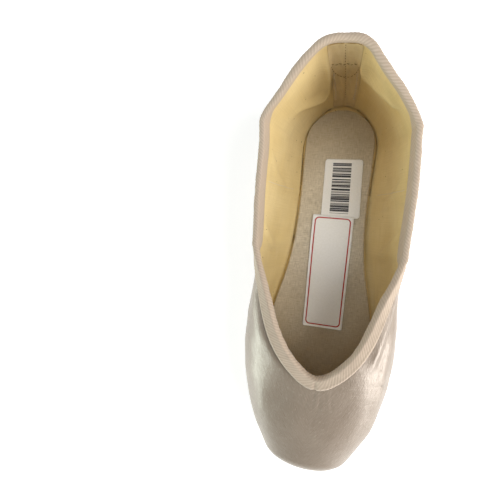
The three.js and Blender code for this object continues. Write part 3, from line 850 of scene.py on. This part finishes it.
def collar_frame(s):
    """The collar's edge point, normal and the way down the wall, on the +x side."""
    at_point, at_back = s <= s_at(THROAT_POINT) + 1e-9, s >= 3 - 1e-9
    ahead = 2e-3
    edge = surface(s, [1.0])[0]
    before = surface(max(s_at(THROAT_POINT), s - ahead), [1.0])[0]
    after = surface(min(3, s + ahead), [1.0])[0]
    tangent = unit(after - before)
    if at_point:
        tangent = np.array([1.0, 0, 0])
    if at_back:
        tangent = np.array([-1.0, 0, 0])
    normal = grid_normals(np.array([s]), np.array([1.0]))[0, 0]
    if at_point or at_back:
        normal[0] = 0
        normal = unit(normal)
    down = unit(np.cross(tangent, normal))
    if down[2] > 0:
        down = -down
    return edge, normal, down


def tape_frame(s):
    """Where the tape's section stands at s: edge, normal, way down, wall and places by depth."""
    edge, normal, down = collar_frame(s)
    g = girth(s)
    square = 1 - float(smooth(s, s_at(92), s_at(112)))
    w = float(wall(np.array([s]), surface(s, [1.0])[None])[0, 0])

    def place(depth):
        straight = (s, 1 - depth / g)
        if square == 0:
            return straight
        turned = nearest_place(edge + down * depth, *straight)
        return tuple(a + (b - a) * square for a, b in zip(straight, turned))

    return edge, normal, down, w, place


def tape_rings():
    """Rings of the tape's section from the V's point to the back, with their run and width."""
    past = np.linspace(0, math.sqrt(THROAT_END - THROAT_POINT), 64) ** 2
    ss = np.concatenate([
        [s_at(THROAT_POINT + d) for d in past],
        np.linspace(s_at(THROAT_END), 2, 44)[1:],
        np.linspace(2, 3, 50)[1:],
    ])
    depths = np.linspace(1, 0, LEG_POINTS)
    rings, runs = [], []
    run, last_edge = 0.0, None
    for s in ss:
        edge, normal, down, w, place = tape_frame(s)
        if last_edge is not None:
            run += np.linalg.norm(edge - last_edge)
        last_edge = edge
        runs.append(run)
        out_face, in_face = BIND_GAP + BIND_THICK, -w - BIND_GAP - BIND_THICK
        reach_in = BIND_IN - BIND_HEEL_LESS * float(smooth(s, 1.97, 2.16))
        legs = []
        for reach in (BIND_OUT, reach_in):
            pts = []
            for d in depths:
                ps, pv = place(d * reach) if d > 0 else (s, 1.0)
                base = surface(ps, [pv])[0]
                nrm = grid_normals(np.array([ps]), np.array([pv]))[0, 0] if d > 0 else normal
                pts.append((base, nrm))
            legs.append(pts)
        leg_out, leg_in = legs
        half, mid = (out_face - in_face) / 2, (out_face + in_face) / 2
        ring = [b + n * (out_face - 0.4 * float(smooth(d, 0.75, 1.0)))
                for (b, n), d in zip(leg_out, depths)]
        u = [d * BIND_OUT for d in depths]
        for k in range(1, TURN_STEPS):
            a = math.pi * k / TURN_STEPS
            ring.append(edge - down * (BIND_RIM * math.sin(a))
                        + normal * (mid + half * math.cos(a)))
            u.append(-half * a * TURN_FLATNESS)
        turn_length = half * math.pi * TURN_FLATNESS
        ring += [b + n * (in_face + 0.3 * float(smooth(d, 0.75, 1.0)))
                 for (b, n), d in zip(leg_in[::-1], depths[::-1])]
        u += [-turn_length - d * BIND_IN for d in depths[::-1]]
        shown = len(ring)
        ring += [b + n * (-w - BIND_GAP) for b, n in leg_in]
        u += [-turn_length - d * BIND_IN for d in depths]
        ring += [b + n * BIND_GAP for b, n in leg_out[::-1]]
        u += [d * BIND_OUT for d in depths[::-1]]
        rings.append(ring)
    return np.array(rings), np.array(runs), np.array(u), shown


def refine(values, at, wanted):
    """Values along the first axis at the wanted places, by a cubic Hermite interpolation."""
    i = np.clip(np.searchsorted(at, wanted, side="right") - 1, 0, len(at) - 2)
    h = at[i + 1] - at[i]
    q = (wanted - at[i]) / h
    shape = (-1,) + (1,) * (values.ndim - 1)
    slope = np.gradient(values, at, axis=0)
    q, h = q.reshape(shape), h.reshape(shape)
    a, b, ma, mb = values[i], values[i + 1], slope[i] * h, slope[i + 1] * h
    return ((2 * q**3 - 3 * q**2 + 1) * a + (q**3 - 2 * q**2 + q) * ma
            + (-2 * q**3 + 3 * q**2) * b + (q**3 - q**2) * mb)


def build_tape():
    """The tape on both sides, and its outer face, with its places across and along the tape."""
    rings, runs, across, shown = tape_rings()
    pitch = 0.34
    fine_run = np.linspace(0, runs[-1], int(runs[-1] / pitch))
    rings = refine(rings, runs, fine_run)
    # more points across where the tape shows
    steps = np.abs(np.diff(across[:shown]))
    place = np.append(0, np.cumsum(np.maximum(steps, 0.05)))
    fine_u = np.linspace(0, place[-1], 46)
    front = np.moveaxis(refine(np.moveaxis(rings[:, :shown], 1, 0), place, fine_u), 0, 1)
    front_u = np.interp(fine_u, place, across[:shown])
    back, back_u = rings[:, shown::2], across[shown::2]
    halves, faces, uvs = [], [], []
    count = len(fine_run)
    for k, side in enumerate((1, -1)):
        f = soften(front * [side, 1, 1])
        b = soften(back * [side, 1, 1])
        t_run, t_u = np.gradient(f, axis=0), np.gradient(f, axis=1)
        n = np.cross(t_run, t_u) * -side
        n /= np.maximum(1e-9, np.linalg.norm(n, axis=-1, keepdims=True))
        phase = (fine_run[:, None] * side * math.cos(RIB_SLANT)
                 + front_u[None, :] * math.sin(RIB_SLANT)) * 2 * math.pi / RIB_PITCH
        wobble = 0.3 * np.sin(fine_run / 3.1 + side)[:, None]
        rib = RIB_HEIGHT * (np.abs(np.cos((phase + wobble) / 2)) ** 0.7 - 0.6)
        edge_fade = smooth(BIND_OUT - front_u, 0.2, 0.9) * smooth(
            front_u + BIND_IN + 3, 0.4, 1.6)
        soft_in = 1 - 0.65 * smooth(-front_u, 3.0, 4.6)
        puff = 0.09 * ripple(f, 9, 21) + 0.06 * ripple(f, 4.5, 22)
        mitre = 0.45 * np.exp(-(front[..., 0] / 0.8) ** 2) * smooth(front_u, 0, 1)[None] \
            * (fine_run < 12)[:, None]
        lift = (rib * soft_in[None] + puff) * edge_fade[None] + mitre
        seam = -0.30 * np.exp(-((front_u - BIND_OUT + BIND_STITCH) / 0.35) ** 2)
        f = f + n * (lift + seam[None])[..., None]
        ends = [0, count - 1]
        ring = np.concatenate([f, b], axis=1)
        centre = soften(np.concatenate([front, back], axis=1)[ends] * [0, 1, 1])[..., 0]
        ring[ends, :, 0] = centre
        halves.append(ring)
        uv = np.meshgrid(fine_run * side, np.append(front_u, back_u), indexing="ij")
        uvs.append(np.stack(uv, -1).reshape(-1, 2) * MM)
        faces.append(grid_faces(count, ring.shape[1], k * count * ring.shape[1],
                                flip=side > 0, wrap=True))
    # the two halves share their rings at the V and at the back
    for end in (0, -1):
        halves[0][end] = halves[1][end] = (halves[0][end] + halves[1][end]) / 2
    obj = make_object("binding_tape", np.stack(halves), np.concatenate(faces), TAPE,
                      np.concatenate(uvs))
    finish_piece(obj, ("binding",), weld=3e-5)
    return front, front_u


tape_front, tape_u = build_tape()


#
# Stitches: small rounded bars of thread
#
def thread_bars(name, places, material, radius):
    """One mesh of thread bars, each from (middle, direction, outward, length)."""
    verts, faces = [], []
    rings, sides = 5, 6
    for middle, direction, outward, length in places:
        d = unit(direction)
        o = unit(outward - d * (outward @ d))
        w = np.cross(d, o)
        start = len(verts)
        for i in range(rings):
            a = -1 + 2 * i / (rings - 1)
            thick = max(0.25, math.sqrt(max(0, 1 - abs(a) ** 3)))
            hump = 0.16 * (1 - a * a) - 0.08
            for k in range(sides):
                c = 2 * math.pi * k / sides
                verts.append(middle + d * (a * length / 2)
                             + o * (hump + radius * thick * math.cos(c))
                             + w * (radius * 1.15 * thick * math.sin(c)))
        for i in range(rings - 1):
            for k in range(sides):
                a, b = start + i * sides + k, start + i * sides + (k + 1) % sides
                faces.append((a, b, b + sides, a + sides))
        faces.append([start + k for k in range(sides)][::-1])
        faces.append([start + (rings - 1) * sides + k for k in range(sides)])
    finish_piece(make_object(name, verts, faces, material))


def tape_stitches():
    """A row of stitches along the tape's outer edge."""
    places = []
    column = int(np.argmin(np.abs(tape_u - (BIND_OUT - BIND_STITCH))))
    for side in (1, -1):
        line = soften(tape_front[:, column] * [side, 1, 1])
        next_line = soften(tape_front[:, max(0, column - 1)] * [side, 1, 1])
        run = run_along(line)
        for r in np.arange(2.2, run[-1] - 1.0, 2.6):
            i = int(np.clip(np.searchsorted(run, r), 1, len(line) - 2))
            d = line[i + 1] - line[i - 1]
            n = unit(np.cross(d, next_line[i] - line[i]))
            if n @ (line[i] - [0, 90 if line[i][1] < 170 else 170, 10]) < 0:
                n = -n
            places.append((line[i] - n * 0.12, d, n, 1.7))
    thread_bars("binding_stitches", places, THREAD, 0.15)


tape_stitches()


#
# Inside back strip over the heel's seam
#
def inner_point(angle, v, lift):
    """A point inside the heel and the way into the shoe there.

    The angle is in degrees from the back, positive to the right."""
    s = 3 - abs(angle) / 90
    side = 1 if angle >= 0 else -1
    ss, vs = np.array([s]), np.array([v])
    base = grid_of(ss, vs)
    n = grid_normals(ss, vs)
    if abs(angle) < 1e-6:
        n[..., 0] = 0
        n /= np.linalg.norm(n)
    p, n = base * [side, 1, 1], n * [side, 1, 1]
    point = soften(p) + n * (lining_in(ss, vs, p, base)[..., None] - lift)
    return point[0, 0], -n[0, 0]


# half width in degrees round the heel, and the v where it starts and ends
STRIP_HALF, STRIP_LOW, STRIP_HIGH = 14.5, 0.18, 0.935


def back_strip():
    """The strip, a little wavy, with a valley along the seam."""
    na, nv = ((32, 90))
    angles = np.linspace(-STRIP_HALF, STRIP_HALF, na)
    heights = np.linspace(STRIP_LOW, STRIP_HIGH, nv)
    top = np.zeros((na, nv, 3))
    under = np.zeros((na, nv, 3))
    for i, a in enumerate(angles):
        edge = min(1, (STRIP_HALF - abs(a)) / 1.3)
        for j, v in enumerate(heights):
            lift = 0.55 * (0.35 + 0.65 * math.sqrt(max(0, edge)))
            lift -= 0.42 * math.exp(-((a / 0.9) ** 2))
            lift += 0.16 * math.sin(v * 46 + a * 0.35) * math.exp(-((v - 0.62) / 0.12) ** 2)
            lift += 0.08 * math.sin(v * 31 + a * 0.8)
            top[i, j] = inner_point(a, v, lift)[0]
            under[i, j] = inner_point(a, v, -0.15)[0]
    uv = np.stack(np.meshgrid(angles * 0.6, heights * 72, indexing="ij"), -1)
    closed_sheet("back_strip", top, under, uv, STRIP)


def strip_row(points, pitch, length, lift=0.62):
    """A row of stitches on the strip, through (angle, v) points."""
    found = [inner_point(a, v, lift) for a, v in points]
    pts, outs = np.array([f[0] for f in found]), np.array([f[1] for f in found])
    run = run_along(pts)

    def at(r, values):
        return np.array([np.interp(r, run, values[:, k]) for k in range(3)])

    return [(at(r, pts), at(r + 0.3, pts) - at(r - 0.3, pts), at(r, outs), length)
            for r in np.arange(pitch / 2, run[-1], pitch)]


def strip_stitches():
    """The seam, the half round that holds the strip's top, and a zigzag along each edge."""
    half_round, level, drop = 12.5, 0.70, 0.155
    dark = strip_row([(0.0, v) for v in np.linspace(0.27, 0.915, 30)], 2.0, 1.3, 0.2)
    dark += strip_row([(a, level + 0.006 * math.sin(a))
                       for a in np.linspace(-half_round, half_round - 1, 18)], 2.0, 1.5)
    dark += strip_row([(half_round * math.cos(c), level - drop * math.sin(c))
                       for c in np.linspace(0.1, 3.05, 26)], 2.0, 1.4)
    thread_bars("back_strip_seam", dark, DARK_THREAD, 0.13)
    zigzag = []
    for centre in (-11.2, 11.2):
        steps = np.linspace(0.27, 0.60, 22)
        pts = [(centre + (1.35 if k % 2 else -1.35), v) for k, v in enumerate(steps)]
        for (a0, v0), (a1, v1) in zip(pts, pts[1:]):
            m, o = inner_point((a0 + a1) / 2, (v0 + v1) / 2, 0.6)
            d = inner_point(a1, v1, 0.6)[0] - inner_point(a0, v0, 0.6)[0]
            zigzag.append((m, d, o, float(np.linalg.norm(d)) * 0.86))
    thread_bars("back_strip_zigzag", zigzag, THREAD, 0.14)


back_strip()
strip_stitches()


def lining_stitches():
    """Two short rows where the heel's lining laps over the front one."""
    places = []
    ss = np.array([s_at(LINING_SEAM + 2.6)])
    vs = np.arange(0.27, 0.84, 0.026)
    for side in (1, -1):
        base = grid_of(ss, vs)
        n = grid_normals(ss, vs) * [side, 1, 1]
        p = base * [side, 1, 1]
        pts = (soften(p) + n * (lining_in(ss, vs, p, base) - 0.1)[..., None])[0]
        for i in range(1, len(vs) - 1):
            places.append((pts[i], pts[i + 1] - pts[i - 1], -n[0, i], 1.2))
    thread_bars("lining_stitches", places, THREAD, 0.12)


lining_stitches()


#
# Two plain paper stickers on the insole
#
INSOLE_TOP, PAPER_THICKNESS = 7.1, 0.18
INSOLE_STEPS = np.arange(INSOLE_START, 202, 2.0)


def insole_top(y):
    heights = INSOLE_TOP + rise(INSOLE_STEPS) - toe_spring(INSOLE_STEPS)
    return np.interp(y, INSOLE_STEPS, heights)


def paper(name, centre, size, turn, corner, material, lift, curl):
    """A rounded sheet of paper lying on the insole, its corners raised by curl."""
    w, h = size
    nx, ny = 21, 57
    u = np.linspace(-1, 1, nx)
    v = np.linspace(-1, 1, ny)
    x = np.broadcast_to(u[:, None] * w / 2, (nx, ny)).copy()
    y = np.broadcast_to(v[None, :] * h / 2, (nx, ny)).copy()
    # rounded corners: pull the points beyond the corner's arc back onto it
    cx, cy = w / 2 - corner, h / 2 - corner
    dx, dy = np.abs(x) - cx, np.abs(y) - cy
    both = (dx > 0) & (dy > 0)
    big = np.maximum(dx, dy)
    radius = np.hypot(dx, dy)
    k = np.where(both & (radius > 1e-9), big / np.maximum(radius, 1e-9), 1)
    x = np.where(both, np.sign(x) * (cx + dx * k), x)
    y = np.where(both, np.sign(y) * (cy + dy * k), y)
    c, s = math.cos(math.radians(turn)), math.sin(math.radians(turn))
    gx, gy = centre[0] + c * x - s * y, centre[1] + s * x + c * y
    corners = (np.abs(x) / (w / 2)) ** 4 * (np.abs(y) / (h / 2)) ** 6
    gz = insole_top(gy) + lift + curl * corners \
        + 0.12 * np.sin(gy / 9 + 1) * np.cos(gx / 7) + 0.12
    top = np.stack([gx, gy, gz + PAPER_THICKNESS], -1)
    under = np.stack([gx, gy, gz], -1)
    closed_sheet(name, top, under, np.stack([x, y], -1), material)


paper("size_sticker", (4.2, 155.5), (21.4, 34.5), 2.0, 1.8, STICKER, 0.05, 0.5)
paper("label", (1.4, 106.2), (22.8, 66.5), 0.6, 0.8, LABEL, 0.42, 0.6)


#
# Floor, light and camera
#
floor_mesh = bpy.data.meshes.new("floor")
floor_mesh.from_pydata([(-6, -6, 0), (6, -6, 0), (6, 6, 0), (-6, 6, 0)], [], [(0, 1, 2, 3)])
floor = bpy.data.objects.new("floor", floor_mesh)
floor_mesh.materials.append(Nodes("floor_paint").finish(
    Base_Color=rgb(0.9, 0.9, 0.9), Roughness=0.9, Specular_IOR_Level=0.1,
    Emission_Color=rgb(1, 1, 1), Emission_Strength=0.5))
bpy.context.collection.objects.link(floor)

# name, place, aim, size, power, colour
LIGHTS = [
    ("left_low", (-0.60, -0.36, 0.15), (0, -0.04, 0.04), (0.55, 0.28), 3.4, (0.88, 1.0, 0.93)),
    ("right_low", (0.60, -0.34, 0.16), (0, -0.04, 0.04), (0.46, 0.28), 3.6, (1.0, 0.98, 0.95)),
    ("right_high", (0.50, 0.10, 0.52), (0, 0.03, 0.02), (0.40, 0.50), 3.3, (1.0, 0.98, 0.94)),
    ("left_high", (-0.55, 0.05, 0.55), (0, 0.03, 0.02), (0.40, 0.50), 0.7, (0.97, 1.0, 0.98)),
    ("top_box", (0.0, 0.35, 1.0), (0, 0, 0.0), (0.45, 0.45), 1.3, (1, 1, 1)),
]
for name, place, aim, size, power, colour in LIGHTS:
    data = bpy.data.lights.new(name, "AREA")
    data.shape = "RECTANGLE"
    data.size, data.size_y = size
    data.energy = power
    data.color = colour
    light = bpy.data.objects.new(name, data)
    light.location = place
    light.rotation_euler = (Vector(aim) - Vector(place)).to_track_quat("-Z", "Y").to_euler()
    bpy.context.collection.objects.link(light)

WORLD_STRENGTH = 0.16
world = bpy.data.worlds.new("studio")
bpy.context.scene.world = world
world.use_nodes = True
background = world.node_tree.nodes["Background"]
background.inputs[0].default_value = (1, 1, 1, 1)
background.inputs[1].default_value = WORLD_STRENGTH
bpy.context.scene.view_settings.view_transform = "Standard"

CAMERA_PLACE = (1.5, 124.6, 220.5)  # millimetres on the last
# from straight down, a turn about this axis by its length in degrees
CAMERA_TURN = (-2.1, 12.9, 6.2)
SENSOR, FOCAL_LENGTH = 36, 25.344
camera = bpy.data.cameras.new("camera")
camera.sensor_width = SENSOR
camera.lens = FOCAL_LENGTH
camera.clip_start = 0.01
camera_object = bpy.data.objects.new("camera", camera)
turn = Vector(math.radians(a) for a in CAMERA_TURN)
place = Vector((CAMERA_PLACE[0], CAMERA_PLACE[1] + Y0, CAMERA_PLACE[2])) * MM
camera_object.matrix_world = Matrix.Translation(place) @ Matrix.Rotation(turn.length, 4, turn)
bpy.context.collection.objects.link(camera_object)
bpy.context.scene.camera = camera_object
